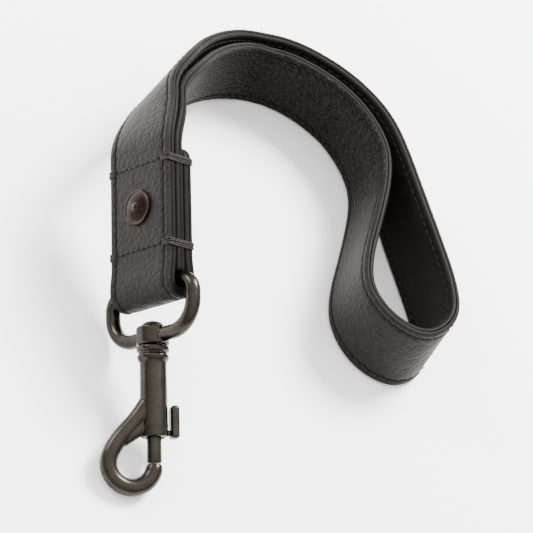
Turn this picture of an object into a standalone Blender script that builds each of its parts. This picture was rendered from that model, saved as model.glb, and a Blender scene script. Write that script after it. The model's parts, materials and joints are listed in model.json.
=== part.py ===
"""Wristlet keychain: a two-layer leather strap, doubled and riveted round a swivel snap hook.

Lengths below are millimetres, and MM turns them into Blender's metres.  +Z is up, the strap
stands on its lower edge and the hook points along -Y.
"""
import math

import bmesh
import bpy
import numpy as np
from mathutils import Matrix, Vector

MM = 0.001

# ---- clearances -------------------------------------------------------------------------
FIT_GAP = 0.3             # between neighbouring pieces

# ---- strap ------------------------------------------------------------------------------
STRAP_WIDTH = 25.4
LAYER_THICKNESS = 1.35    # one leather layer, pebbled or lining
RIDGE_RADIUS = 0.7        # rounding of the strap's long edges
SEAM_INSET = 2.5          # seam line to the strap's edge
THREAD_RADIUS = 0.2
TAIL_CORNER = 4.5         # rounded corners of the tail's end
TAIL_LENGTH = 5.0         # tail past the upper cross seam
CROSS_SEAM_SPACING = 25.4
FOLD_TO_SEAM = 10.6       # ring bar's centre to the lower cross seam
CROSS_BAND_WIDTH = 1.5
CROSS_BAND_THICKNESS = 0.5

# ---- pose of the riveted stack and the route of the free strap ---------------------------
STACK_DIP = 18.0          # degrees that the hook's direction falls below level
STACK_LEAN = 22.0         # degrees that the stack leans back from upright
HANDLE_SPAN = 100.0       # 100 units of a station's first value
HANDLE_DEPTH = 100.0      # 100 units of a station's second value

# Doubled part of the strap, from the stack's end to the loop's neck.  Each station is the
# middle between both strands at the lower edge: sideways and forward of the stack's end,
# share of the stack end's height, lean in degrees, space between the strands in mm.
DOUBLED_STATIONS = (
    (4.7, 11.2, 0.96, 16.0, 0.7),
    (12.3, 21.7, 0.81, 9.0, 1.3),
    (21.6, 31.6, 0.57, 4.0, 2.0),
    (31.4, 41.0, 0.34, 2.0, 2.5),
    (42.4, 48.8, 0.13, 0.0, 2.8),
    (55.6, 53.2, 0.0, 0.0, 2.9),
    (67.3, 51.4, 0.0, 0.0, 3.0),
    (78.4, 45.4, 0.0, 0.0, 3.2),
    (86.8, 37.0, 0.0, -1.0, 3.6),
    (92.1, 26.2, 0.0, -3.0, 4.2),
    (93.9, 16.5, 0.0, -4.0, 4.5),
)
# Single strap round the loop, at its own middle: sideways, forward, lean in degrees.
LOOP_STATIONS = (
    (98.8, 4.0, -5.0),
    (100.2, -10.0, -6.0),
    (101.8, -23.0, -6.0),
    (103.0, -34.2, -5.0),
    (102.8, -44.6, -1.0),
    (99.0, -52.4, 5.0),
    (91.6, -56.0, 8.0),
    (83.4, -53.4, 8.0),
    (77.0, -46.0, 6.0),
    (74.6, -36.5, 4.0),
    (76.4, -26.0, 4.0),
    (81.2, -14.0, 4.0),
    (86.2, -1.5, 4.5),
)

# ---- rivet ------------------------------------------------------------------------------
RIVET_POST_RADIUS = 1.6
RIVET_CAP_RADIUS = 5.3
RIVET_CAP_HEIGHT = 1.7
RIVET_CAP_RIM = 0.65      # height of the front cap's rim
RIVET_NUB_RADIUS = 1.1
RIVET_RIBS = 24
RIVET_RIB_HEIGHT = 0.1
RIVET_BACK_RADIUS = 4.6
RIVET_BACK_HEIGHT = 1.1
RIVET_BACK_RIM = 0.5
RIVET_RECESS = 0.75       # depth of the blind hole that each cap has for the post

# ---- swivel eye -------------------------------------------------------------------------
EYE_WIRE = 4.4
EYE_CLEARANCE = 2.1       # inside of the eye to the strap's edge
EYE_HEIGHT = 14.4         # bar's centre to the swivel boss's centre
EYE_TOP_CORNER = 4.0
EYE_LOW_CORNER = 8.5
BOSS_RADIUS = 4.8
BOSS_LENGTH = 5.6
STUD_RADIUS = 1.5
STUD_HEAD_RADIUS = 3.0
STUD_HEAD_HEIGHT = 1.4

# ---- snap hook, measured down its axis from the boss's centre -----------------------------
HOOK_ROLL = 5.0           # degrees that the hook's plane is turned from level
COLLAR_RADIUS = 4.7
BARREL_RADIUS = 3.95
BARREL_END = 29.4
BORE_RADIUS = 2.45
BORE_TOP = 8.2
SOCKET_DEPTH = 3.6
HOOK_WIRE = 5.2
HOOK_BEND_RADIUS = 6.7
HOOK_BEND_DEPTH = 37.0    # centre of the hook's bend
BOLT_RADIUS = 2.1
BOLT_TOP = 20.8
LEVER_DEPTH = 28.0        # thumb lever's pin
LEVER_PIN_RADIUS = 0.9
LEVER_WIDTH = 4.4
LEVER_THICKNESS = 2.8
LEVER_LENGTH = 9.6
GATE_TRAVEL = 7.2
SPRING_WIRE_RADIUS = 0.22
SPRING_COILS = 9

# ---- fineness of the strap's sections -----------------------------------------------------
MAX_TURN = 13.0           # degrees from one section to the next
MAX_STEP = 9.0            # mm from one section to the next

# ---- worked out from the sizes above ------------------------------------------------------
STRAND = 2.0 * LAYER_THICKNESS + FIT_GAP            # one strand, both layers
PITCH = STRAND + FIT_GAP                            # strand to strand in the stack
FOLD_RADIUS = EYE_WIRE / 2.0 + FIT_GAP + STRAND / 2.0
UPPER_SEAM = FOLD_TO_SEAM + CROSS_SEAM_SPACING
STACK_END = UPPER_SEAM + TAIL_LENGTH
EYE_HALF_WIDTH = STRAP_WIDTH / 2.0 + EYE_CLEARANCE + EYE_WIRE / 2.0
STACK_HALF = PITCH + STRAND / 2.0                   # stack's middle to its outer faces
RIVET_UP = FOLD_TO_SEAM + CROSS_SEAM_SPACING / 2.0  # rivet's axis, midway between the cross seams


# =========================================================================================
# scene, materials and mesh helpers
# =========================================================================================
def clear_scene():
    for item in list(bpy.data.objects):
        bpy.data.objects.remove(item, do_unlink=True)


def make_material(name, color, roughness, metallic):
    material = bpy.data.materials.new(name)
    material.use_nodes = True
    shader = material.node_tree.nodes["Principled BSDF"]
    shader.inputs["Base Color"].default_value = (*color, 1.0)
    shader.inputs["Roughness"].default_value = roughness
    shader.inputs["Metallic"].default_value = metallic
    return material


def new_object(name, mesh_data, material=None, frame=None):
    item = bpy.data.objects.new(name, mesh_data)
    bpy.context.collection.objects.link(item)
    if material is not None:
        mesh_data.materials.append(material)
    if frame is not None:
        item.matrix_world = frame
    return item


def finish_mesh(name, bm, smooth_angle):
    """Turn a bmesh given in millimetres into a mesh in metres with outward faces."""
    bmesh.ops.remove_doubles(bm, verts=bm.verts, dist=0.001)
    bmesh.ops.recalc_face_normals(bm, faces=bm.faces)
    bmesh.ops.scale(bm, vec=(MM, MM, MM), verts=bm.verts)
    mesh = bpy.data.meshes.new(name)
    bm.to_mesh(mesh)
    bm.free()
    mesh.shade_smooth()
    mesh.set_sharp_from_angle(angle=math.radians(smooth_angle))
    return mesh


def loft(name, rings, closed=False, smooth_angle=40.0):
    """Skin a run of equal-sized rings of points, capped at both ends unless it closes."""
    bm = bmesh.new()
    loops = [[bm.verts.new(point) for point in ring] for ring in rings]
    count = len(loops[0])
    pairs = list(zip(loops[:-1], loops[1:]))
    if closed:
        pairs.append((loops[-1], loops[0]))
    for first, second in pairs:
        for i in range(count):
            j = (i + 1) % count
            bm.faces.new((first[i], first[j], second[j], second[i]))
    if not closed:
        bm.faces.new(loops[0])
        bm.faces.new(loops[-1])
    return finish_mesh(name, bm, smooth_angle)


def turn_profile(name, profile, segments, ripple=None, smooth_angle=35.0):
    """Spin a profile of (radius, height) points about Z; it starts and ends on the axis."""
    bm = bmesh.new()
    verts = [bm.verts.new((radius, 0.0, height)) for radius, height in profile]
    edges = [bm.edges.new(pair) for pair in zip(verts[:-1], verts[1:])]
    bmesh.ops.spin(bm, geom=verts + edges, axis=(0, 0, 1), cent=(0, 0, 0), steps=segments,
                   angle=math.tau)
    bmesh.ops.remove_doubles(bm, verts=bm.verts, dist=0.001)
    if ripple is not None:
        for vert in bm.verts:
            vert.co.z += ripple(math.hypot(vert.co.x, vert.co.y),
                                math.atan2(vert.co.y, vert.co.x), vert.co.z)
    return finish_mesh(name, bm, smooth_angle)


def box_mesh(name, low, high):
    bm = bmesh.new()
    bmesh.ops.create_cube(bm, size=1.0)
    low = Vector(low)
    high = Vector(high)
    bmesh.ops.scale(bm, vec=high - low, verts=bm.verts)
    bmesh.ops.translate(bm, vec=(low + high) / 2.0, verts=bm.verts)
    return finish_mesh(name, bm, 30.0)


def cylinder(name, radius, low, high, segments=24):
    profile = ((0.0, low), (radius, low), (radius, high), (0.0, high))
    return turn_profile(name, profile, segments)


def tube_rings(points, radii, side, sides):
    """Round rings along a path that lies in the plane square to side."""
    rings = []
    for i, point in enumerate(points):
        before = points[max(i - 1, 0)]
        after = points[min(i + 1, len(points) - 1)]
        across = (after - before).normalized().cross(side)
        rings.append([point + radii[i] * (math.cos(a) * side + math.sin(a) * across)
                      for a in (math.tau * k / sides for k in range(sides))])
    return rings


def boolean(target, mesh, operation, frame=None):
    """Cut or join with a mesh placed by frame, and keep the result in the target's mesh."""
    cutter = new_object(mesh.name, mesh)
    cutter.matrix_world = target.matrix_world @ (frame or Matrix.Identity(4))
    cutter.hide_render = True
    cutter.display_type = "WIRE"
    step = target.modifiers.new(mesh.name, "BOOLEAN")
    step.operation = operation
    step.object = cutter
    return step


def turned_frame(axis, degrees, offset=(0.0, 0.0, 0.0)):
    shift = Matrix.Translation(Vector(offset) * MM)
    return shift @ Matrix.Rotation(math.radians(degrees), 4, axis)


# =========================================================================================
# smooth curves
# =========================================================================================
def smooth_curve(points, first_slope, last_slope, per_span):
    """A curve through points with even curvature, leaving and arriving at given slopes."""
    points = np.array(points, dtype=float)
    steps = np.linalg.norm(np.diff(points[:, :3], axis=0), axis=1)
    count = len(points)
    matrix = np.zeros((count, count))
    right = np.zeros_like(points)
    matrix[0, 0] = 1.0
    matrix[-1, -1] = 1.0
    right[0] = first_slope
    right[-1] = last_slope
    for i in range(1, count - 1):
        a, b = 1.0 / steps[i - 1], 1.0 / steps[i]
        matrix[i, i - 1:i + 2] = (a, 2.0 * (a + b), b)
        right[i] = 3.0 * (a * a * (points[i] - points[i - 1]) + b * b * (points[i + 1] - points[i]))
    slopes = np.linalg.solve(matrix, right)
    curve = []
    for i in range(count - 1):
        for k in range(per_span):
            s = k / per_span
            curve.append((2 * s**3 - 3 * s**2 + 1) * points[i] + (3 * s**2 - 2 * s**3) * points[i + 1]
                         + steps[i] * ((s**3 - 2 * s**2 + s) * slopes[i] + (s**3 - s**2) * slopes[i + 1]))
    curve.append(points[-1])
    return np.array(curve)


# =========================================================================================
# frames: the riveted stack, the eye and the snap hook share one axis
# =========================================================================================
def stack_axes():
    """Across the strap, front to back through the stack, and back up the strap."""
    dip = math.radians(STACK_DIP)
    lean = math.radians(STACK_LEAN)
    steep = Vector((0.0, -math.sin(dip), math.cos(dip)))
    across = math.sin(lean) * Vector((1.0, 0.0, 0.0)) + math.cos(lean) * steep
    through = math.cos(lean) * Vector((1.0, 0.0, 0.0)) - math.sin(lean) * steep
    upstrap = Vector((0.0, math.cos(dip), math.sin(dip)))
    return across, through, upstrap


def hook_turn():
    """Degrees from the eye's plane to the hook's plane, about the swivel axis."""
    return 90.0 - HOOK_ROLL - STACK_LEAN


def eye_outline():
    """Wire centre line of the eye in its own plane: (across, down) from the bar's centre."""
    half = EYE_HALF_WIDTH
    corners = ((half - EYE_TOP_CORNER, EYE_TOP_CORNER, EYE_TOP_CORNER, -90.0, 4),
               (half - EYE_LOW_CORNER, EYE_HEIGHT - EYE_LOW_CORNER, EYE_LOW_CORNER, 0.0, 7))
    right = []
    for x, y, radius, start, steps in corners:
        for k in range(steps + 1):
            a = math.radians(start + 90.0 * k / steps)
            right.append((x + radius * math.cos(a), y + radius * math.sin(a)))
    return right + [(-x, y) for x, y in reversed(right)]


def hook_outline():
    """Wire centre line of the hook: (sideways, depth below the boss's centre)."""
    center = (-HOOK_BEND_RADIUS, HOOK_BEND_DEPTH)
    arc = [math.radians(a) for a in range(200, -1, -20)]
    bend = [(center[0] + HOOK_BEND_RADIUS * math.cos(a), center[1] + HOOK_BEND_RADIUS * math.sin(a))
            for a in arc]
    arm = ((-1.6, BARREL_END - 10.4), (-5.2, BARREL_END - 5.2), (-9.6, BARREL_END - 0.2))
    knots = [(x, y, 0.0) for x, y in arm] + [(*bend[0], 0.0)]
    start_slope = (-0.55, 0.83, 0.0)
    end_slope = (-math.sin(math.radians(20.0)), math.cos(math.radians(20.0)), 0.0)
    lead = smooth_curve(knots, start_slope, end_slope, 3)
    return [(x, y) for x, y, _ in lead[:-1]] + bend


def resting_height():
    """Height of the eye's bar that puts the eye or the hook, whichever is lower, on the floor."""
    across, through, upstrap = stack_axes()
    eye_low = min(across.z * x - upstrap.z * y for x, y in eye_outline()) - EYE_WIRE / 2.0
    turn = math.radians(hook_turn())
    sideways = math.cos(turn) * across + math.sin(turn) * through
    hook_low = min(sideways.z * x - upstrap.z * (EYE_HEIGHT + y) for x, y in hook_outline())
    return max(-eye_low, HOOK_WIRE / 2.0 - hook_low)


def stack_frame():
    across, through, upstrap = stack_axes()
    rows = Matrix((across, through, upstrap)).transposed().to_4x4()
    return Matrix.Translation((0.0, 0.0, resting_height() * MM)) @ rows


def snap_frame():
    """Origin at the boss's centre, +X sideways in the hook's plane, +Z towards the strap."""
    return stack_frame() @ turned_frame("Z", hook_turn(), (0.0, 0.0, -EYE_HEIGHT))


# =========================================================================================
# the strap's route: lower edge and upward direction all along its length
# =========================================================================================
def stack_point(through, up):
    """Point of the strap's lower edge in the stack, in world millimetres."""
    frame = stack_frame()
    point = frame @ (Vector((-STRAP_WIDTH / 2.0, through, up)) * MM)
    return np.array(point) / MM


def fold_points():
    """From the tail's end down the back, round the eye's bar and up the front."""
    straight = (STACK_END, STACK_END - 0.8, STACK_END - 2.2, STACK_END - TAIL_CORNER, 8.0)
    down = [(PITCH, up) for up in straight]
    for k in range(1, 4):
        share = k / 4.0
        ease = share * share * (3.0 - 2.0 * share)
        down.append((PITCH + (FOLD_RADIUS - PITCH) * ease, 8.0 * (1.0 - share)))
    half = [(FOLD_RADIUS * math.cos(a), -FOLD_RADIUS * math.sin(a))
            for a in (math.pi * k / 14 for k in range(8))]
    side = down + half
    front = [(-through, up) for through, up in reversed(side[:-1])]
    return side + [point for point in front if point[1] <= 8.0] + [(-PITCH, STACK_END)]


def lean_upright(heading, degrees):
    """Unit vector up the strap's width, leant to the right of its heading."""
    heading = heading / np.linalg.norm(heading)
    steep = np.array((0.0, 0.0, 1.0)) - heading[2] * heading
    steep /= np.linalg.norm(steep)
    right = np.cross(heading, (0.0, 0.0, 1.0))
    right /= np.linalg.norm(right)
    lean = math.radians(degrees)
    return math.cos(lean) * steep + math.sin(lean) * right


def free_strap_knots():
    """Knots of the free strap: lower edge point and upright, outwards, round and back."""
    across, through, upstrap = (np.array(axis) for axis in stack_axes())
    front_start = stack_point(-PITCH, STACK_END)
    middle_start = stack_point(0.0, STACK_END)
    anchor = (front_start + middle_start) / 2.0
    spine = [anchor]
    for sideways, forward, height, _, _ in DOUBLED_STATIONS:
        spine.append(np.array((anchor[0] + sideways * HANDLE_SPAN / 100.0,
                               anchor[1] + forward * HANDLE_DEPTH / 100.0, anchor[2] * height)))
    out = [(front_start, across)]
    back = [(middle_start, across)]
    for i, (_, _, _, lean, space) in enumerate(DOUBLED_STATIONS, start=1):
        heading = spine[min(i + 1, len(spine) - 1)] - spine[i - 1]
        upright = lean_upright(heading, lean)
        outward = np.cross(upright, heading)
        outward *= (STRAND + space) / 2.0 / np.linalg.norm(outward)
        out.append((spine[i] + outward, upright))
        back.append((spine[i] - outward, upright))
    ring = [np.array((anchor[0] + sideways * HANDLE_SPAN / 100.0,
                      anchor[1] + forward * HANDLE_DEPTH / 100.0, 0.0))
            for sideways, forward, _ in LOOP_STATIONS]
    around = [out[-1][0]] + ring + [back[-1][0]]
    loop = []
    for i, (_, _, lean) in enumerate(LOOP_STATIONS, start=1):
        loop.append((ring[i - 1], lean_upright(around[i + 1] - around[i - 1], lean)))
    knots = out + loop + list(reversed(back))
    return [np.concatenate((point, upright)) for point, upright in knots]


def strap_route():
    """Lower edge points and uprights of the whole strap, dense, from tail to inner end."""
    across, _, upstrap = (np.array(axis) for axis in stack_axes())
    fold = [np.concatenate((stack_point(through, up), across)) for through, up in fold_points()]
    leave = np.concatenate((upstrap, np.zeros(3)))
    free = smooth_curve(free_strap_knots(), leave, -leave * (1.0, 1.0, 1.0, 0.0, 0.0, 0.0), 24)
    inner_end = EYE_WIRE / 2.0 + FIT_GAP + FIT_GAP
    last = np.concatenate((stack_point(0.0, inner_end), across))
    return fold, free, last


def strap_sections():
    """Cross-section frames: lower edge point, upright, pebbled-side normal, width share."""
    fold, free, last = strap_route()
    chosen = [0]
    turned = 0.0
    for i in range(1, len(free) - 1):
        before = free[i, :3] - free[i - 1, :3]
        after = free[i + 1, :3] - free[i, :3]
        cosine = before @ after / np.linalg.norm(before) / np.linalg.norm(after)
        turned += math.degrees(math.acos(max(-1.0, min(1.0, cosine))))
        gone = np.linalg.norm(free[i, :3] - free[chosen[-1], :3])
        if turned > MAX_TURN or gone > MAX_STEP:
            chosen.append(i)
            turned = 0.0
    if np.linalg.norm(free[chosen[-1], :3] - free[-1, :3]) < 2.0:
        chosen.pop()
    rows = [list(row) for row in fold[:-1]] + [list(free[i]) for i in chosen]
    rows += [list(free[-1]), list(last)]
    rows = np.array(rows)
    headings = []
    for i in range(len(rows)):
        if i < len(fold) - 1 or i >= len(rows) - 2:
            heading = rows[min(i + 1, len(rows) - 1), :3] - rows[max(i - 1, 0), :3]
        else:
            k = chosen[i - len(fold) + 1]
            heading = free[min(k + 1, len(free) - 1), :3] - free[max(k - 1, 0), :3]
        headings.append(heading / np.linalg.norm(heading))
    sections = []
    for i, (row, heading) in enumerate(zip(rows, headings)):
        upright = row[3:] - (row[3:] @ heading) * heading
        upright /= np.linalg.norm(upright)
        normal = np.cross(upright, heading)
        gone = np.linalg.norm(row[:3] - rows[0, :3]) if i < 5 else TAIL_CORNER
        inset = TAIL_CORNER - math.sqrt(max(0.0, TAIL_CORNER**2 - (TAIL_CORNER - min(gone, TAIL_CORNER))**2))
        share = 1.0 - 2.0 * inset / STRAP_WIDTH
        sections.append((Vector(row[:3]), Vector(upright), Vector(normal), share))
    return sections


def section_ring(section, outline):
    """Place an outline of (height up the width, offset to the pebbled side) on a section."""
    point, upright, normal, share = section
    middle = STRAP_WIDTH / 2.0
    return [point + upright * (middle + (up - middle) * share) + normal * out for up, out in outline]


# =========================================================================================
# leather and thread
# =========================================================================================
def layer_outline(side, edge_inset):
    """Cross-section of one layer: rounded outer ridges and a groove for each seam."""
    inner = FIT_GAP / 2.0
    outer = STRAND / 2.0
    low = edge_inset
    high = STRAP_WIDTH - edge_inset
    round_in = RIDGE_RADIUS * (1.0 - math.sqrt(0.5))
    groove = THREAD_RADIUS + FIT_GAP
    depth = 2.0 * THREAD_RADIUS + FIT_GAP
    half = [(low, inner), (low, outer - RIDGE_RADIUS), (low + round_in, outer - round_in),
            (low + RIDGE_RADIUS, outer), (SEAM_INSET - groove, outer),
            (SEAM_INSET - groove, outer - depth), (SEAM_INSET + groove, outer - depth),
            (SEAM_INSET + groove, outer)]
    other = [(low + high - up, out) for up, out in reversed(half)]
    return [(up, side * out) for up, out in half + other]


def make_layer(name, side, edge_inset, sections, material):
    outline = layer_outline(side, edge_inset)
    layer = new_object(name, loft(name, [section_ring(s, outline) for s in sections]), material)
    hole = cylinder(name + "_rivet_hole", RIVET_POST_RADIUS + FIT_GAP, -STACK_HALF - 2.0,
                    STACK_HALF + 2.0, 20)
    cutter = boolean(layer, hole, "DIFFERENCE").object
    cutter.matrix_world = rivet_frame()
    return layer


def make_thread(name, side, height, sections, material):
    """Seam thread, seen as one run that lies in its groove."""
    center = side * (STRAND / 2.0 - THREAD_RADIUS)
    outline = [(height + THREAD_RADIUS * math.cos(a), center + THREAD_RADIUS * math.sin(a))
               for a in (math.tau * (k + 0.5) / 4 for k in range(4))]
    rings = [section_ring(s, outline) for s in sections[1:-1]]
    return new_object(name, loft(name, rings), material)


def make_cross_seam(name, up, material):
    """Thread band sewn round the whole stack and both its edges."""
    half_w = STRAP_WIDTH / 2.0 + FIT_GAP + CROSS_BAND_THICKNESS / 2.0
    half_t = STACK_HALF + FIT_GAP + CROSS_BAND_THICKNESS / 2.0
    corner = 0.8
    rings = []
    for x_side, y_side, start in ((1, 1, 0), (-1, 1, 90), (-1, -1, 180), (1, -1, 270)):
        for k in range(4):
            a = math.radians(start + 30.0 * k)
            spot = Vector((x_side * (half_w - corner) + corner * math.cos(a),
                           y_side * (half_t - corner) + corner * math.sin(a), up))
            out = Vector((math.cos(a), math.sin(a), 0.0)) * CROSS_BAND_THICKNESS / 2.0
            rise = Vector((0.0, 0.0, CROSS_BAND_WIDTH / 2.0))
            rings.append([spot + out + rise, spot - out + rise, spot - out - rise, spot + out - rise])
    return new_object(name, loft(name, rings, closed=True), material, stack_frame())


# =========================================================================================
# rivet
# =========================================================================================
def rivet_frame():
    """Origin in the stack's middle, +Z out of the back."""
    return stack_frame() @ turned_frame("X", -90.0, (0.0, 0.0, RIVET_UP))


def cap_profile(radius, height, rim):
    """A cap seen from its leather side at height 0, with a blind hole for the post."""
    hole = RIVET_POST_RADIUS + FIT_GAP
    profile = [(0.0, RIVET_RECESS), (hole, RIVET_RECESS), (hole, 0.0), (radius - 0.25, 0.0), (radius, 0.25),
               (radius, rim), (radius - 0.3, rim + 0.2), (radius - 0.75, rim)]
    for share in (0.92, 0.75, 0.5, 0.3):
        spread = (radius - 0.75) * share
        profile.append((spread, rim + (height - rim) * (1.0 - share**2)))
    return profile


def make_rivet(material):
    ribs_start = RIVET_NUB_RADIUS + 0.2
    ribs_end = RIVET_CAP_RADIUS - 1.1

    def ripple(radius, angle, height):
        if height < RIVET_CAP_RIM + 0.05 or radius < ribs_start or radius > ribs_end:
            return 0.0
        return RIVET_RIB_HEIGHT * math.cos(RIVET_RIBS * angle)

    profile = cap_profile(RIVET_CAP_RADIUS, RIVET_CAP_HEIGHT, RIVET_CAP_RIM)
    profile += [(RIVET_NUB_RADIUS, RIVET_CAP_HEIGHT + 0.02),
                (RIVET_NUB_RADIUS - 0.3, RIVET_CAP_HEIGHT + 0.22), (0.0, RIVET_CAP_HEIGHT + 0.28)]
    front = rivet_frame() @ turned_frame("X", 180.0, (0.0, 0.0, -STACK_HALF - FIT_GAP))
    new_object("rivet_cap", turn_profile("rivet_cap", profile, 2 * RIVET_RIBS, ripple), material, front)
    back = rivet_frame() @ Matrix.Translation((0.0, 0.0, (STACK_HALF + FIT_GAP) * MM))
    profile = cap_profile(RIVET_BACK_RADIUS, RIVET_BACK_HEIGHT, RIVET_BACK_RIM)
    profile.append((0.0, RIVET_BACK_HEIGHT))
    new_object("rivet_back_cap", turn_profile("rivet_back_cap", profile, 28), material, back)
    reach = STACK_HALF + RIVET_RECESS
    post = cylinder("rivet_post", RIVET_POST_RADIUS, -reach, reach, 16)
    new_object("rivet_post", post, material, rivet_frame())


# =========================================================================================
# swivel eye and its stud
# =========================================================================================
def make_swivel_eye(material):
    outline = eye_outline()
    side = Vector((0.0, 1.0, 0.0))
    points = [Vector((x, 0.0, -y)) for x, y in outline]
    rings = []
    for i, point in enumerate(points):
        heading = (points[(i + 1) % len(points)] - points[i - 1]).normalized()
        across = heading.cross(side)
        rings.append([point + EYE_WIRE / 2.0 * (math.cos(a) * side + math.sin(a) * across)
                      for a in (math.tau * k / 12 for k in range(12))])
    eye = new_object("swivel_eye", loft("swivel_eye", rings, closed=True), material, stack_frame())
    half = BOSS_LENGTH / 2.0
    profile = ((0.0, -half), (BOSS_RADIUS - 0.6, -half), (BOSS_RADIUS, 0.6 - half),
               (BOSS_RADIUS, half - 0.9), (BOSS_RADIUS - 1.0, half), (0.0, half))
    boss = Matrix.Translation((0.0, 0.0, -EYE_HEIGHT * MM))
    boolean(eye, turn_profile("swivel_boss", profile, 28), "UNION", boss)
    boolean(eye, cylinder("stud_hole", STUD_RADIUS + FIT_GAP, -half - 1.0, half + 1.0, 20),
            "DIFFERENCE", boss)
    return eye


def make_stud(material):
    """Headed pin: domed head inside the eye, shank in the snap body's socket."""
    head = BOSS_LENGTH / 2.0 + FIT_GAP
    tip = -(BOSS_LENGTH / 2.0 + SOCKET_DEPTH)
    profile = [(0.0, tip), (STUD_RADIUS, tip), (STUD_RADIUS, head), (STUD_HEAD_RADIUS, head)]
    for k in range(1, 5):
        a = math.radians(90.0 * k / 5)
        profile.append((STUD_HEAD_RADIUS * math.cos(a), head + STUD_HEAD_HEIGHT * math.sin(a)))
    profile.append((0.0, head + STUD_HEAD_HEIGHT))
    return new_object("swivel_stud", turn_profile("swivel_stud", profile, 20), material, snap_frame())


# =========================================================================================
# snap body, gate bolt, thumb lever and spring
# =========================================================================================
def make_snap_body(material):
    top = -(BOSS_LENGTH / 2.0 + FIT_GAP)
    profile = ((0.0, top), (COLLAR_RADIUS - 0.7, top), (COLLAR_RADIUS, top - 0.6),
               (COLLAR_RADIUS, top - 1.9), (BARREL_RADIUS + 0.35, top - 3.0),
               (BARREL_RADIUS - 0.1, top - 4.4), (BARREL_RADIUS, top - 9.0),
               (BARREL_RADIUS + 0.1, 3.0 - BARREL_END), (BARREL_RADIUS, 0.6 - BARREL_END),
               (BARREL_RADIUS - 0.5, -BARREL_END), (0.0, -BARREL_END))
    frame = snap_frame()
    body = new_object("snap_body", turn_profile("snap_body", profile, 32), material, frame)

    outline = hook_outline()
    points = [Vector((x, 0.0, -y)) for x, y in outline]
    thick = HOOK_WIRE / 2.0
    radii = [thick * (0.96 + 0.04 * min(1.0, i / 4.0)) for i in range(len(points))]
    for i in (-1, -2):
        radii[i] = thick * 0.94
    rings = tube_rings(points, radii, Vector((0.0, 1.0, 0.0)), 14)
    boolean(body, loft("hook", rings), "UNION")

    boolean(body, cylinder("bore", BORE_RADIUS, -(BARREL_END + 0.5), -BORE_TOP), "DIFFERENCE",
            turned_frame("Z", 5.0))
    boolean(body, cylinder("stud_socket", STUD_RADIUS + FIT_GAP, top - SOCKET_DEPTH, top + 1.0, 20),
            "DIFFERENCE")
    slot = LEVER_PIN_RADIUS + FIT_GAP
    slot_top = LEVER_DEPTH - GATE_TRAVEL - slot
    boolean(body, box_mesh("lever_slot", (0.0, -slot, -(BARREL_END + 0.5)),
                           (BARREL_RADIUS + 2.0, slot, -slot_top)), "DIFFERENCE")
    return body


def make_gate_bolt(material):
    tip = HOOK_BEND_DEPTH - FIT_GAP
    profile = ((0.0, -tip), (BOLT_RADIUS - 0.4, -tip), (BOLT_RADIUS, 0.4 - tip),
               (BOLT_RADIUS, -BOLT_TOP), (0.0, -BOLT_TOP))
    bolt = new_object("gate_bolt", turn_profile("gate_bolt", profile, 24), material, snap_frame())
    hole = cylinder("lever_hole", LEVER_PIN_RADIUS + FIT_GAP, -0.9, BOLT_RADIUS + 1.0, 16)
    boolean(bolt, hole, "DIFFERENCE", turned_frame("Y", 90.0, (0.0, 0.0, -LEVER_DEPTH)))
    return bolt


def make_thumb_lever(material):
    """A pin through the barrel's slot with a thumb paddle that turns back up the barrel."""
    pin = turned_frame("Y", 90.0, (0.0, 0.0, -LEVER_DEPTH))
    center = BARREL_RADIUS + 2.0 * FIT_GAP + LEVER_THICKNESS / 2.0
    low = -(LEVER_DEPTH + 1.6)
    high = low + LEVER_LENGTH
    chamfer = 0.35
    rings = []
    # Side view from the pin's end to the thumb end: height, shares of the thickness and width.
    shape = ((low, 0.35, 0.55), (low + 0.5, 0.8, 0.85), (low + 1.6, 1.0, 0.95), (low + 3.4, 1.0, 1.0),
             (high - 2.2, 0.92, 1.0), (high - 0.9, 1.0, 0.95), (high - 0.25, 0.85, 0.8),
             (high, 0.45, 0.5))
    for z, thick, wide in shape:
        half_t = LEVER_THICKNESS / 2.0 * thick
        half_w = LEVER_WIDTH / 2.0 * wide
        ring = []
        for x_side, y_side in ((1, 1), (-1, 1), (-1, -1), (1, -1)):
            ends = [(half_t, half_w * (1 - chamfer)), (half_t * (1 - chamfer), half_w)]
            if x_side * y_side < 0:
                ends.reverse()
            ring += [Vector((center + x_side * a, y_side * b, z)) for a, b in ends]
        rings.append(ring)
    lever = new_object("thumb_lever", loft("thumb_lever", rings), material, snap_frame())
    boolean(lever, cylinder("lever_pin", LEVER_PIN_RADIUS, -0.5, center, 16), "UNION", pin)
    return lever


def make_spring(material):
    """Compression spring between the bore's blind end and the gate bolt."""
    low = -(BOLT_TOP - FIT_GAP - SPRING_WIRE_RADIUS)
    high = -(BORE_TOP + FIT_GAP + SPRING_WIRE_RADIUS)
    radius = BORE_RADIUS - FIT_GAP - SPRING_WIRE_RADIUS
    steps = 12
    rings = []
    turns = SPRING_COILS * steps
    for i in range(turns + 1):
        a = math.tau * i / steps
        radial = Vector((math.cos(a), math.sin(a), 0.0))
        point = radial * radius + Vector((0.0, 0.0, low + (high - low) * i / turns))
        ring = []
        for k in range(5):
            b = math.tau * k / 5
            ring.append(point + SPRING_WIRE_RADIUS * (math.cos(b) * radial
                                                     + math.sin(b) * Vector((0.0, 0.0, 1.0))))
        rings.append(ring)
    return new_object("gate_spring", loft("gate_spring", rings), material, snap_frame())


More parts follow.
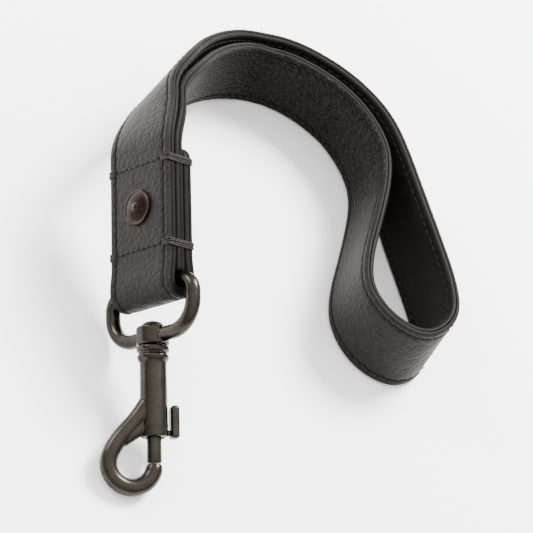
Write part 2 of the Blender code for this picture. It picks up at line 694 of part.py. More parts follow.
# =========================================================================================
# assembly
# =========================================================================================
def rest_on_origin():
    """Move everything so that the origin is below the middle of the whole object's box."""
    bpy.context.view_layer.update()
    graph = bpy.context.evaluated_depsgraph_get()
    corners = []
    for item in bpy.data.objects:
        if item.type == "MESH" and not item.hide_render:
            evaluated = item.evaluated_get(graph)
            corners += [evaluated.matrix_world @ vert.co for vert in evaluated.data.vertices]
    corners = np.array(corners)
    low, high = corners.min(axis=0), corners.max(axis=0)
    shift = Matrix.Translation((-(low[0] + high[0]) / 2.0, -(low[1] + high[1]) / 2.0, -low[2]))
    for item in bpy.data.objects:
        if item.parent is None:
            item.matrix_world = shift @ item.matrix_world


def make_axis_empty(name, frame):
    """Parent of a moving group, on its joint's axis."""
    empty = bpy.data.objects.new(name, None)
    bpy.context.collection.objects.link(empty)
    empty.matrix_world = frame
    return empty


def adopt(parent, children):
    bpy.context.view_layer.update()
    for child in children:
        world = child.matrix_world.copy()
        child.parent = parent
        child.matrix_parent_inverse = parent.matrix_world.inverted()
        child.matrix_world = world


def main():
    clear_scene()
    pebbled = make_material("pebbled_leather", (0.030, 0.026, 0.025), 0.5, 0.0)
    lining = make_material("lining_leather", (0.036, 0.029, 0.027), 0.6, 0.0)
    thread = make_material("waxed_thread", (0.022, 0.020, 0.020), 0.55, 0.0)
    bronze = make_material("aged_bronze", (0.055, 0.045, 0.038), 0.35, 1.0)
    gunmetal = make_material("antique_gunmetal", (0.11, 0.10, 0.09), 0.38, 1.0)
    spring_steel = make_material("spring_steel", (0.35, 0.35, 0.36), 0.3, 1.0)

    sections = strap_sections()
    make_layer("strap_outer_leather", 1, 0.0, sections, pebbled)
    make_layer("strap_lining_leather", -1, FIT_GAP, sections, lining)
    for row, height in (("lower", SEAM_INSET), ("upper", STRAP_WIDTH - SEAM_INSET)):
        make_thread(row + "_seam_face_thread", 1, height, sections, thread)
        make_thread(row + "_seam_lining_thread", -1, height, sections, thread)
    make_cross_seam("cross_seam_near_ring", FOLD_TO_SEAM, thread)
    make_cross_seam("cross_seam_near_tail", UPPER_SEAM, thread)
    make_rivet(bronze)

    eye = make_swivel_eye(gunmetal)
    snap = [make_stud(gunmetal), make_snap_body(gunmetal), make_spring(spring_steel)]
    gate = [make_gate_bolt(gunmetal), make_thumb_lever(gunmetal)]
    snap_axis = make_axis_empty("snap_axis", snap_frame())
    adopt(snap_axis, snap + gate)
    adopt(eye, [snap_axis])
    rest_on_origin()


main()
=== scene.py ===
"""Wristlet keychain: stitched leather strap riveted round a swivel eye with a snap hook.

The sizes are millimetres unless their unit says otherwise, and MM turns them into metres.
"""
import json
import math

import bpy
import numpy as np
from mathutils import Matrix, Vector


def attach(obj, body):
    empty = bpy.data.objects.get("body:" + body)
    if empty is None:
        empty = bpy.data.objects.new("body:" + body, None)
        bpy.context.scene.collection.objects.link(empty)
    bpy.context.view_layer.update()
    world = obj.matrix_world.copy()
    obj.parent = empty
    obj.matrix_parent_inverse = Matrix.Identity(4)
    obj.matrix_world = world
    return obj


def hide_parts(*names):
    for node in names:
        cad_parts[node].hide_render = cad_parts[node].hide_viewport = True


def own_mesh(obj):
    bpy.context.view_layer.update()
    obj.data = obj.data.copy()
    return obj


bl_info = {
    "name": "Wristlet Keychain",
    "version": (1, 0, 0),
    "blender": (4, 5, 0),
    "location": "View3D > Sidebar > Keychain",
    "description": "Builds a stitched leather wristlet with a swivel snap hook",
    "category": "Add Mesh",
}

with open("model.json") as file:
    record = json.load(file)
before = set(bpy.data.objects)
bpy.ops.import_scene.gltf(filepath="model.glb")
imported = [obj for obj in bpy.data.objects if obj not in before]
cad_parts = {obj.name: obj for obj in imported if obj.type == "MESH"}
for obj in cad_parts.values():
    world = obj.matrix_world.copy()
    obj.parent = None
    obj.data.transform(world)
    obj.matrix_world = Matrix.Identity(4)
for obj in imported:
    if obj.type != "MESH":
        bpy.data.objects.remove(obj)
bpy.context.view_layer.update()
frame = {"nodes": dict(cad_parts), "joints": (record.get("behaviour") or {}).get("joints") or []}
MM = 0.001

# ---- the frame's joints place the riveted stack, the eye and the snap hook ----------------
JOINTS = {joint["name"]: joint for joint in frame["joints"]}
BAR = Vector(JOINTS["eye_swing"]["pos_m"])
BOSS = Vector(JOINTS["hook_swivel"]["pos_m"])
ACROSS = Vector(JOINTS["eye_swing"]["axis"]).normalized()
UPSTRAP = Vector(JOINTS["hook_swivel"]["axis"]).normalized()
THROUGH = UPSTRAP.cross(ACROSS)
STACK_FRAME = Matrix.Translation(BAR) @ Matrix((ACROSS, THROUGH, UPSTRAP)).transposed().to_4x4()
HOOK_TURN = 63.0          # degrees from the eye's plane to the hook's plane
SNAP_FRAME = Matrix.Translation(BOSS - BAR) @ STACK_FRAME @ Matrix.Rotation(
    math.radians(HOOK_TURN), 4, "Z")

# ---- strap --------------------------------------------------------------------------------
FIT_GAP = 0.3             # between neighbouring pieces
STRAP_WIDTH = 25.4
LAYER = 1.35              # one leather layer
STRAND = 2.0 * LAYER + FIT_GAP
PITCH = STRAND + FIT_GAP  # between strands in the stack
EYE_WIRE = 4.4
FOLD_RADIUS = EYE_WIRE / 2.0 + FIT_GAP + STRAND / 2.0
NEAR_RING_SEAM = 10.6
CROSS_SEAM_SPACING = 25.4
NEAR_TAIL_SEAM = NEAR_RING_SEAM + CROSS_SEAM_SPACING
RIVET_UP = (NEAR_RING_SEAM + NEAR_TAIL_SEAM) / 2.0
TAIL_LENGTH = 5.0
TAIL_CORNER = 4.5
STACK_END = NEAR_TAIL_SEAM + TAIL_LENGTH
STACK_HALF = PITCH + STRAND / 2.0
SEAM_DEPTH = 0.26         # the seam channel below the leather's surface
BASE_LIFT = 0.30          # lower edge's line above the surface the keychain lies on

# Doubled part, from the stack's end to the loop's neck, midway between both strands at the
# lower edge: sideways and forward of the stack's end, share of its height, lean, space.
DOUBLED_STATIONS = (
    (4.7, 11.2, 0.96, 16.0, 0.7),
    (12.3, 21.7, 0.81, 9.0, 1.3),
    (21.6, 31.6, 0.57, 4.0, 2.0),
    (31.4, 41.0, 0.34, 2.0, 2.5),
    (42.4, 48.8, 0.13, 0.0, 2.8),
    (55.6, 53.2, 0.0, 0.0, 2.9),
    (67.3, 51.4, 0.0, 0.0, 3.0),
    (78.4, 45.4, 0.0, 0.0, 3.2),
    (86.8, 37.0, 0.0, -1.0, 3.6),
    (92.1, 26.2, 0.0, -3.0, 4.2),
    (93.9, 16.5, 0.0, -4.0, 4.5),
)
# Single strap round the loop, at its own middle: sideways, forward, lean in degrees.
LOOP_STATIONS = (
    (98.8, 4.0, -5.0),
    (100.2, -10.0, -6.0),
    (101.8, -23.0, -6.0),
    (103.0, -34.2, -5.0),
    (102.8, -44.6, -1.0),
    (99.0, -52.4, 5.0),
    (91.6, -56.0, 8.0),
    (83.4, -53.4, 8.0),
    (77.0, -46.0, 6.0),
    (74.6, -36.5, 4.0),
    (76.4, -26.0, 4.0),
    (81.2, -14.0, 4.0),
    (86.2, -1.5, 4.5),
)


def hex_color(code):
    """An sRGB hex value as linear red, green, blue and alpha."""
    parts = [int(code[i:i + 2], 16) / 255.0 for i in (1, 3, 5)]
    linear = [c / 12.92 if c <= 0.04045 else ((c + 0.055) / 1.055) ** 2.4 for c in parts]
    return (*linear, 1.0)


def length_setting(name, description, default):
    return bpy.props.FloatProperty(name=name, description=description, default=default,
                                   unit="LENGTH")


def color_setting(name, description, code):
    return bpy.props.FloatVectorProperty(name=name, description=description, subtype="COLOR",
                                         size=4, default=hex_color(code))


class StrapSettings(bpy.types.PropertyGroup):
    width: length_setting("Width", "Width of the strap", STRAP_WIDTH * MM)
    ridge: length_setting("Edge rounding", "Rounding of the strap's long edges", 1.0 * MM)
    seam_inset: length_setting("Seam inset", "Seam line to the strap's edge", 2.5 * MM)
    stitch_pitch: length_setting("Stitch pitch", "From one needle hole to the next", 3.1 * MM)
    thread_radius: length_setting("Thread radius", "Half the sewing thread's thickness", 0.26 * MM)


class HardwareSettings(bpy.types.PropertyGroup):
    casting_detail: length_setting("Casting detail", "Grid size of the cast pieces' surface",
                                   0.2 * MM)
    rivet_ribs: bpy.props.IntProperty(
        name="Rivet ribs", description="Ribs of the rivet cap's sunburst", default=30, min=8)
    spring_coils: bpy.props.IntProperty(
        name="Spring coils", description="Turns of the gate spring", default=9, min=4)


class ColorSettings(bpy.types.PropertyGroup):
    face_leather: color_setting("Face leather", "Pebbled side of the strap", "#1b1616")
    lining_leather: color_setting("Lining leather", "Smooth side of the strap", "#1a1514")
    edge_paint: color_setting("Edge paint", "Painted edges of the strap", "#0e0b0b")
    thread: color_setting("Thread", "Waxed sewing thread", "#221d1c")
    gunmetal: color_setting("Gunmetal", "Plating of the eye and the snap hook", "#332f2a")
    bronze: color_setting("Bronze", "Antique bronze of the rivet", "#2c221d")


# ---- materials --------------------------------------------------------------------------
def set_inputs(tree, node, inputs):
    """Fill a node's inputs with constants or links."""
    for key, value in inputs.items():
        if isinstance(value, bpy.types.NodeSocket):
            tree.links.new(value, node.inputs[key])
        else:
            node.inputs[key].default_value = value


def add_node(tree, kind, inputs=None, **settings):
    """Add a node, set its properties, and fill its inputs."""
    node = tree.nodes.new(kind)
    for key, value in settings.items():
        setattr(node, key, value)
    set_inputs(tree, node, inputs or {})
    return node


def object_place(tree):
    return add_node(tree, "ShaderNodeTexCoord").outputs["Object"]


def noise(tree, place, size, detail=2.0, roughness=0.5):
    """Cloudy noise with patches of about the given size."""
    return add_node(tree, "ShaderNodeTexNoise", {
        "Vector": place, "Scale": 1 / size, "Detail": detail, "Roughness": roughness})


def tinted(tree, factor, dark, light, low=0.0, high=1.0):
    """Colour that goes from dark to light as the factor goes from low to high."""
    node = add_node(tree, "ShaderNodeValToRGB", {"Fac": factor})
    first, last = node.color_ramp.elements
    first.position, first.color = low, dark
    last.position, last.color = high, light
    return node.outputs["Color"]


def remap(tree, value, to_min, to_max, from_min=0.0, from_max=1.0):
    return add_node(tree, "ShaderNodeMapRange", {
        "Value": value, "From Min": from_min, "From Max": from_max,
        "To Min": to_min, "To Max": to_max}).outputs["Result"]


def multiply(tree, first, second):
    return add_node(tree, "ShaderNodeMath", {0: first, 1: second},
                    operation="MULTIPLY").outputs[0]


def bumped(tree, height, strength, distance, under=None, invert=False):
    """Normal of a bump, laid over another one if that is given."""
    inputs = {"Height": height, "Strength": strength, "Distance": distance}
    if under is not None:
        inputs["Normal"] = under
    return add_node(tree, "ShaderNodeBump", inputs, invert=invert).outputs["Normal"]


def new_material(name):
    if name in bpy.data.materials:
        return bpy.data.materials[name], None, None
    material = bpy.data.materials.new(name)
    material.use_nodes = True
    return material, material.node_tree, material.node_tree.nodes["Principled BSDF"]


def shade(color, factor):
    return (*[channel * factor for channel in color[:3]], 1.0)


def pebbled_leather():
    """Pebbled cowhide, drum-dyed and waxed: soft grain cells and a low satin sheen."""
    material, tree, shader = new_material("pebbled_cowhide")
    if tree is None:
        return material
    base = bpy.context.scene.keychain_colors.face_leather
    place = object_place(tree)
    strap_map = add_node(tree, "ShaderNodeUVMap", uv_map="strap").outputs["UV"]
    warp = noise(tree, place, 2.5 * MM)
    warped = add_node(tree, "ShaderNodeVectorMath",
                      {0: warp.outputs["Color"], "Scale": 0.9 * MM}, operation="SCALE")
    moved = add_node(tree, "ShaderNodeVectorMath", {0: place, 1: warped.outputs[0]},
                     operation="ADD").outputs[0]
    cells = add_node(tree, "ShaderNodeTexVoronoi",
                     {"Vector": moved, "Scale": 1 / (1.4 * MM), "Smoothness": 0.6},
                     feature="SMOOTH_F1").outputs["Distance"]
    pores = noise(tree, place, 0.35 * MM, 3.0).outputs["Fac"]
    # Creases run across the strap and gather where the leather is squeezed on a bend.
    across = add_node(tree, "ShaderNodeMapping",
                      {"Vector": strap_map, "Scale": (1 / (1.5 * MM), 1 / (9.0 * MM), 1.0)})
    crease = noise(tree, across.outputs[0], 1.0, 4.0, 0.6)
    crease.inputs["Distortion"].default_value = 0.8
    squeeze = add_node(tree, "ShaderNodeAttribute", attribute_name="squeeze").outputs["Fac"]
    creased = multiply(tree, crease.outputs["Fac"], squeeze)
    # Fine folds part the grain into islands, and they deepen on the inside of a bend.
    islands = add_node(tree, "ShaderNodeTexVoronoi", {"Vector": moved, "Scale": 1 / (2.2 * MM)},
                       feature="DISTANCE_TO_EDGE")
    island = remap(tree, islands.outputs["Distance"], 0.0, 1.0, 0.0, 0.2)
    folded = multiply(tree, island, remap(tree, squeeze, 0.16, 1.0, 0.0, 0.45))
    mottle = noise(tree, place, 7.0 * MM, 4.0).outputs["Fac"]
    dye = tinted(tree, mottle, shade(base, 0.78), shade(base, 1.18), 0.3, 0.7)
    # Painted shade and highlight: the colour darkens in the valleys between the pebbles and lightens a
    # little on their tops, following the bump's grain cells.
    pebble_valley_shade = remap(tree, cells, 1.06, 0.78, 0.25, 0.75)
    colored = add_node(tree, "ShaderNodeVectorMath", {0: dye, "Scale": pebble_valley_shade},
                       operation="SCALE").outputs[0]
    normal = bumped(tree, cells, 1.0, 0.2 * MM, invert=True)
    normal = bumped(tree, pores, 0.5, 0.14 * MM, normal)
    normal = bumped(tree, creased, 1.0, 3.0 * MM, normal)
    normal = bumped(tree, folded, 1.0, 0.55 * MM, normal)
    set_inputs(tree, shader, {
        "Base Color": colored, "Roughness": remap(tree, mottle, 0.46, 0.62), "Normal": normal,
        "IOR": 1.45, "Specular IOR Level": 0.13})
    return material


def plain_leather(name, color, roughness):
    """Smooth leather, or its painted edge: fine pores and a slightly uneven dye."""
    material, tree, shader = new_material(name)
    if tree is None:
        return material
    place = object_place(tree)
    cloud = noise(tree, place, 5.0 * MM, 5.0).outputs["Fac"]
    pores = noise(tree, place, 0.7 * MM, 4.0, 0.6).outputs["Fac"]
    set_inputs(tree, shader, {
        "Base Color": tinted(tree, cloud, shade(color, 0.8), shade(color, 1.2), 0.3, 0.7),
        "Roughness": remap(tree, cloud, roughness - 0.08, roughness + 0.08),
        "Normal": bumped(tree, pores, 0.5, 0.3 * MM),
        "IOR": 1.45, "Specular IOR Level": 0.06})
    return material


def lining_leather():
    """Smooth lining split: matt, with a fine nap."""
    return plain_leather("lining_split_hide", bpy.context.scene.keychain_colors.lining_leather,
                         0.62)


def edge_paint():
    """Edge paint rolled on the cut edges: darker than the face and a little glossier."""
    return plain_leather("edge_paint", bpy.context.scene.keychain_colors.edge_paint, 0.5)


def waxed_thread():
    """Twisted polyester thread, waxed: fine slanting twisted plies, painted shade in their grooves,
    painted highlight on their crowns, and a soft gloss.
    """
    material, tree, shader = new_material("bonded_polyester_thread")
    if tree is None:
        return material
    base = bpy.context.scene.keychain_colors.thread
    slanted = add_node(tree, "ShaderNodeMapping",
                       {"Vector": object_place(tree), "Rotation": (0.6, 0.5, 0.7)})
    twist_height_and_shade = add_node(tree, "ShaderNodeTexWave", {
        "Vector": slanted.outputs[0], "Scale": 1 / (1.6 * MM), "Distortion": 2.0}).outputs["Fac"]
    set_inputs(tree, shader, {
        # Painted shade and highlight: the colour follows the plies' height, darker in the grooves and
        # lighter on the crowns.
        "Base Color": tinted(tree, twist_height_and_shade, shade(base, 0.75), shade(base, 1.15)),
        "Normal": bumped(tree, twist_height_and_shade, 0.5, 0.05 * MM),
        "Roughness": 0.5, "Specular IOR Level": 0.12})
    return material


def painted_hole_shade():
    """Needle holes in the leather: shallow discs painted nearly black, painted shade for the deep holes'
    own shadow.
    """
    material, tree, shader = new_material("painted_hole_shade")
    if tree is None:
        return material
    cloud = noise(tree, object_place(tree), 0.5 * MM).outputs["Fac"]
    set_inputs(tree, shader, {
        "Base Color": tinted(tree, cloud, hex_color("#040303"), hex_color("#080706")),
        "Roughness": 0.9, "Specular IOR Level": 0.1})
    return material


def aged_metal(name, color, dark, roughness):
    """Plated metal, antiqued: dark patches where the oxide stays, rubbed highlights."""
    material, tree, shader = new_material(name)
    if tree is None:
        return material
    place = object_place(tree)
    patches = noise(tree, place, 4.0 * MM, 6.0, 0.6).outputs["Fac"]
    speckle = noise(tree, place, 0.5 * MM, 4.0).outputs["Fac"]
    set_inputs(tree, shader, {
        "Base Color": tinted(tree, patches, dark, color, 0.32, 0.62),
        "Roughness": remap(tree, speckle, roughness - 0.07, roughness + 0.1),
        "Normal": bumped(tree, speckle, 0.12, 0.05 * MM),
        "Metallic": 1.0})
    return material


def antique_gunmetal():
    """Gunmetal plating on cast zinc: dark and warm, with broad soft highlights."""
    color = bpy.context.scene.keychain_colors.gunmetal
    return aged_metal("plated_zinc_casting", color, shade(color, 0.72), 0.25)


def aged_bronze():
    """Antiqued brass: brown, with darker patches scattered at random over the rubbed ribs."""
    color = bpy.context.scene.keychain_colors.bronze
    return aged_metal("antiqued_brass", color, shade(color, 0.45), 0.22)


def spring_steel():
    """Drawn spring wire: bright and nearly clean."""
    return aged_metal("drawn_spring_wire", hex_color("#b9b9bb"), hex_color("#8f8f92"), 0.28)


# ---- mesh helpers -----------------------------------------------------------------------
def deselect_all():
    if bpy.context.mode != "OBJECT":
        bpy.ops.object.mode_set(mode="OBJECT")
    bpy.ops.object.select_all(action="DESELECT")


def make_active(item):
    deselect_all()
    item.select_set(True)
    bpy.context.view_layer.objects.active = item


def object_from(name, verts, faces):
    mesh = bpy.data.meshes.new(name)
    mesh.from_pydata([tuple(v) for v in verts], [], [tuple(f) for f in faces])
    item = bpy.data.objects.new(name, mesh)
    bpy.context.collection.objects.link(item)
    return item


def apply_modifier(item, kind, **settings):
    make_active(item)
    step = item.modifiers.new(kind.title(), kind)
    for key, value in settings.items():
        setattr(step, key, value)
    bpy.ops.object.modifier_apply(modifier=step.name)


def tidy_shell(item, merge=True):
    """Turn all faces outwards, after merging points that coincide."""
    make_active(item)
    bpy.ops.object.mode_set(mode="EDIT")
    bpy.ops.mesh.select_all(action="SELECT")
    if merge:
        bpy.ops.mesh.remove_doubles(threshold=0.001 * MM)
    bpy.ops.mesh.normals_make_consistent(inside=False)
    bpy.ops.object.mode_set(mode="OBJECT")


def finish_piece(item, material, body, frame_matrix=None, replaced=(), angle=None):
    """Put a piece's place into its mesh, shade it and tie it to its body."""
    if frame_matrix is not None:
        item.data.transform(frame_matrix)
    if material is not None:
        item.data.materials.clear()
        item.data.materials.append(material)
    make_active(item)
    if angle is None:
        bpy.ops.object.shade_smooth()
    else:
        bpy.ops.object.shade_smooth_by_angle(angle=math.radians(angle))
    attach(item, body)
    if replaced:
        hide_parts(*replaced)
    return item


def finish_casting(item, body, frame_matrix, node, angle=None):
    """Finish a gunmetal piece that stands for one node."""
    return finish_piece(item, antique_gunmetal(), body, frame_matrix, (node,),
                        angle)


def turned(name, profile, segments):
    """Spin a profile of (radius, height) in millimetres about Z with a Screw modifier."""
    mesh = bpy.data.meshes.new(name)
    points = [(radius * MM, 0.0, height * MM) for radius, height in profile]
    mesh.from_pydata(points, [(i, i + 1) for i in range(len(points) - 1)], [])
    item = bpy.data.objects.new(name, mesh)
    bpy.context.collection.objects.link(item)
    apply_modifier(item, "SCREW", steps=segments, render_steps=segments, use_merge_vertices=True,
                   merge_threshold=0.001 * MM, angle=math.tau, axis="Z")
    tidy_shell(item)
    return item


def rounded(profile, radius, steps=5):
    """Round the inner corners of a profile with short arcs."""
    result = [profile[0]]
    for before, corner, after in zip(profile[:-2], profile[1:-1], profile[2:]):
        here = Vector(corner)
        back = Vector(before) - here
        ahead = Vector(after) - here
        cut = min(radius, 0.45 * back.length, 0.45 * ahead.length)
        first = here + back.normalized() * cut
        last = here + ahead.normalized() * cut
        for k in range(steps + 1):
            s = k / steps
            result.append(tuple((1 - s) ** 2 * first + 2 * s * (1 - s) * here + s * s * last))
    result.append(profile[-1])
    return result


def tube(name, points, radius, sides=24, cyclic=False, radii=None):
    """A round bar along points in millimetres, made as a bevelled curve and then a mesh."""
    curve = bpy.data.curves.new(name, "CURVE")
    curve.dimensions = "3D"
    curve.bevel_depth = radius * MM
    curve.bevel_resolution = max(1, sides // 4 - 1)
    curve.use_fill_caps = not cyclic
    spline = curve.splines.new("POLY")
    spline.points.add(len(points) - 1)
    for i, point in enumerate(points):
        spline.points[i].co = (*(Vector(point) * MM), 1.0)
        spline.points[i].radius = radii[i] if radii else 1.0
    spline.use_cyclic_u = cyclic
    item = bpy.data.objects.new(name, curve)
    bpy.context.collection.objects.link(item)
    make_active(item)
    bpy.ops.object.convert(target="MESH")
    item = bpy.context.view_layer.objects.active
    tidy_shell(item)
    return item


def combine(target, other, operation):
    """Boolean with another piece, which is then removed."""
    make_active(target)
    step = target.modifiers.new("Combine", "BOOLEAN")
    step.operation = operation
    step.object = other
    bpy.ops.object.modifier_apply(modifier=step.name)
    bpy.data.objects.remove(other, do_unlink=True)


def cast_surface(item, smoothing=6):
    """Melt the joined shapes into one skin, as a casting has soft inner corners."""
    detail = bpy.context.scene.keychain_hardware.casting_detail
    apply_modifier(item, "REMESH", mode="VOXEL", voxel_size=detail, use_smooth_shade=True)
    apply_modifier(item, "SMOOTH", factor=0.5, iterations=smoothing)


# ---- the strap's route ------------------------------------------------------------------
def smooth_curve(points, first_slope, last_slope, per_span):
    """A curve through points with even curvature, leaving and arriving at given slopes."""
    points = np.array(points, dtype=float)
    steps = np.linalg.norm(np.diff(points[:, :3], axis=0), axis=1)
    count = len(points)
    matrix = np.zeros((count, count))
    right = np.zeros_like(points)
    matrix[0, 0] = 1.0
    matrix[-1, -1] = 1.0
    right[0] = first_slope
    right[-1] = last_slope
    for i in range(1, count - 1):
        a, b = 1.0 / steps[i - 1], 1.0 / steps[i]
        matrix[i, i - 1:i + 2] = (a, 2.0 * (a + b), b)
        right[i] = 3.0 * (a * a * (points[i] - points[i - 1]) + b * b * (points[i + 1] - points[i]))
    slopes = np.linalg.solve(matrix, right)
    curve = []
    for i in range(count - 1):
        for k in range(per_span):
            s = k / per_span
            curve.append((2 * s**3 - 3 * s**2 + 1) * points[i] + (3 * s**2 - 2 * s**3) * points[i + 1]
                         + steps[i] * ((s**3 - 2 * s**2 + s) * slopes[i] + (s**3 - s**2) * slopes[i + 1]))
    curve.append(points[-1])
    return np.array(curve)


def stack_point(through, up, width):
    """Point of the strap's lower edge in the stack, in world millimetres."""
    return np.array(STACK_FRAME @ (Vector((-width / 2.0, through, up)) * MM)) / MM


def fold_points():
    """From the tail's end down the back, round the eye's bar and up the front."""
    down = [(PITCH, up) for up in np.linspace(STACK_END, 8.0, 60)]
    for k in range(1, 16):
        share = k / 16.0
        ease = share * share * (3.0 - 2.0 * share)
        down.append((PITCH + (FOLD_RADIUS - PITCH) * ease, 8.0 * (1.0 - share)))
    quarter = [(FOLD_RADIUS * math.cos(a), -FOLD_RADIUS * math.sin(a))
               for a in (math.pi * k / 48 for k in range(25))]
    side = down + quarter
    return side + [(-through, up) for through, up in reversed(side[:-1])]


def lean_upright(heading, degrees):
    """Unit vector up the strap's width, leant to the right of its heading."""
    heading = heading / np.linalg.norm(heading)
    steep = np.array((0.0, 0.0, 1.0)) - heading[2] * heading
    steep /= np.linalg.norm(steep)
    right = np.cross(heading, (0.0, 0.0, 1.0))
    right /= np.linalg.norm(right)
    lean = math.radians(degrees)
    return math.cos(lean) * steep + math.sin(lean) * right


def free_strap_knots(width):
    """Knots of the free strap: lower edge point and upright, outwards, round and back."""
    across = np.array(ACROSS)
    front_start = stack_point(-PITCH, STACK_END, width)
    middle_start = stack_point(0.0, STACK_END, width)
    anchor = (front_start + middle_start) / 2.0
    spine = [anchor]
    for sideways, forward, height, _, _ in DOUBLED_STATIONS:
        rise = (anchor[2] - BASE_LIFT) * height + BASE_LIFT
        spine.append(np.array((anchor[0] + sideways, anchor[1] + forward, rise)))
    out = [(front_start, across)]
    back = [(middle_start, across)]
    for i, (_, _, _, lean, space) in enumerate(DOUBLED_STATIONS, start=1):
        heading = spine[min(i + 1, len(spine) - 1)] - spine[i - 1]
        upright = lean_upright(heading, lean)
        outward = np.cross(upright, heading)
        outward *= (STRAND + space) / 2.0 / np.linalg.norm(outward)
        out.append((spine[i] + outward, upright))
        back.append((spine[i] - outward, upright))
    ring = [np.array((anchor[0] + sideways, anchor[1] + forward, BASE_LIFT))
            for sideways, forward, _ in LOOP_STATIONS]
    around = [out[-1][0]] + ring + [back[-1][0]]
    loop = []
    for i, (_, _, lean) in enumerate(LOOP_STATIONS, start=1):
        loop.append((ring[i - 1], lean_upright(around[i + 1] - around[i - 1], lean)))
    knots = out + loop + list(reversed(back))
    return [np.concatenate((point, upright)) for point, upright in knots]


class Route:
    """The strap from its tail's end to its inner end, at even steps, in millimetres."""

    STEP = 0.7

    def __init__(self, width):
        self.width = width
        across = np.array(ACROSS)
        fold = [np.concatenate((stack_point(t, up, width), across)) for t, up in fold_points()]
        leave = np.concatenate((np.array(UPSTRAP), np.zeros(3)))
        free = smooth_curve(free_strap_knots(width), leave, -leave, 40)
        ends = np.linspace(STACK_END, EYE_WIRE / 2.0 + 2.0 * FIT_GAP, 60)[1:]
        last = [np.concatenate((stack_point(0.0, up, width), across)) for up in ends]
        rows = np.array(fold + list(free) + last)
        lengths = np.concatenate(((0.0,), np.cumsum(np.linalg.norm(np.diff(rows[:, :3], axis=0), axis=1))))
        keep = np.concatenate(((True,), np.diff(lengths) > 1e-4))
        rows, lengths = rows[keep], lengths[keep]
        self.length = lengths[-1]
        count = int(self.length / self.STEP)
        self.stations = np.linspace(0.0, self.length, count + 1)
        self.points = np.array([np.interp(self.stations, lengths, rows[:, k]) for k in range(3)]).T
        uprights = np.array([np.interp(self.stations, lengths, rows[:, k]) for k in range(3, 6)]).T
        heading = np.gradient(self.points, axis=0)
        heading /= np.linalg.norm(heading, axis=1)[:, None]
        uprights -= (uprights * heading).sum(axis=1)[:, None] * heading
        self.uprights = uprights / np.linalg.norm(uprights, axis=1)[:, None]
        self.normals = np.cross(self.uprights, heading)
        turn = np.gradient(heading, axis=0) / np.gradient(self.stations)[:, None]
        bend = (turn * self.normals).sum(axis=1)
        kernel = np.ones(9) / 9.0
        self.bend = np.convolve(bend, kernel, mode="same")

    def place(self, along, up, out):
        """World millimetres of strap coordinates given as equal arrays."""
        pick = [np.array([np.interp(along, self.stations, field[:, k]) for k in range(3)]).T
                for field in (self.points, self.uprights, self.normals)]
        normal = pick[2] / np.linalg.norm(pick[2], axis=-1)[..., None]
        return pick[0] + pick[1] * np.asarray(up)[..., None] + normal * np.asarray(out)[..., None]


# ---- leather layers ---------------------------------------------------------------------
def leather_outline(width, ridge, inset):
    """Half the section of one layer from its inner edge to its middle: (up, out)."""
    outer = STRAND / 2.0
    half = [(0.2, 0.03), (0.04, 0.16), (0.0, 0.35)]
    for k in range(7):
        a = math.radians(90.0 * k / 6)
        half.append((ridge - ridge * math.cos(a), outer - ridge * (1.0 - math.sin(a)) + 0.04))
    # The seam lies in a soft channel between the edge's roll and the flat middle.
    half += [(inset - 0.85, outer + 0.05), (inset - 0.6, outer + 0.01), (inset - 0.38, outer - 0.12),
             (inset - 0.18, outer - SEAM_DEPTH), (inset + 0.18, outer - SEAM_DEPTH),
             (inset + 0.38, outer - 0.12),
             (inset + 0.62, outer - 0.01), (inset + 1.0, outer + 0.04), (inset + 2.4, outer + 0.07),
             (inset + 4.5, outer + 0.08), (width / 2.0 - 2.0, outer + 0.08)]
    return half


def relief(along, up, side):
    """Small waves of the leather's surface, in millimetres."""
    slow = 0.05 * np.sin(along / 5.3 + 0.35 * up) * np.sin(up / 4.1 + along / 17.0 + side)
    return slow + 0.03 * np.sin(along / 2.1 + up / 1.7 + 2.0 * side)


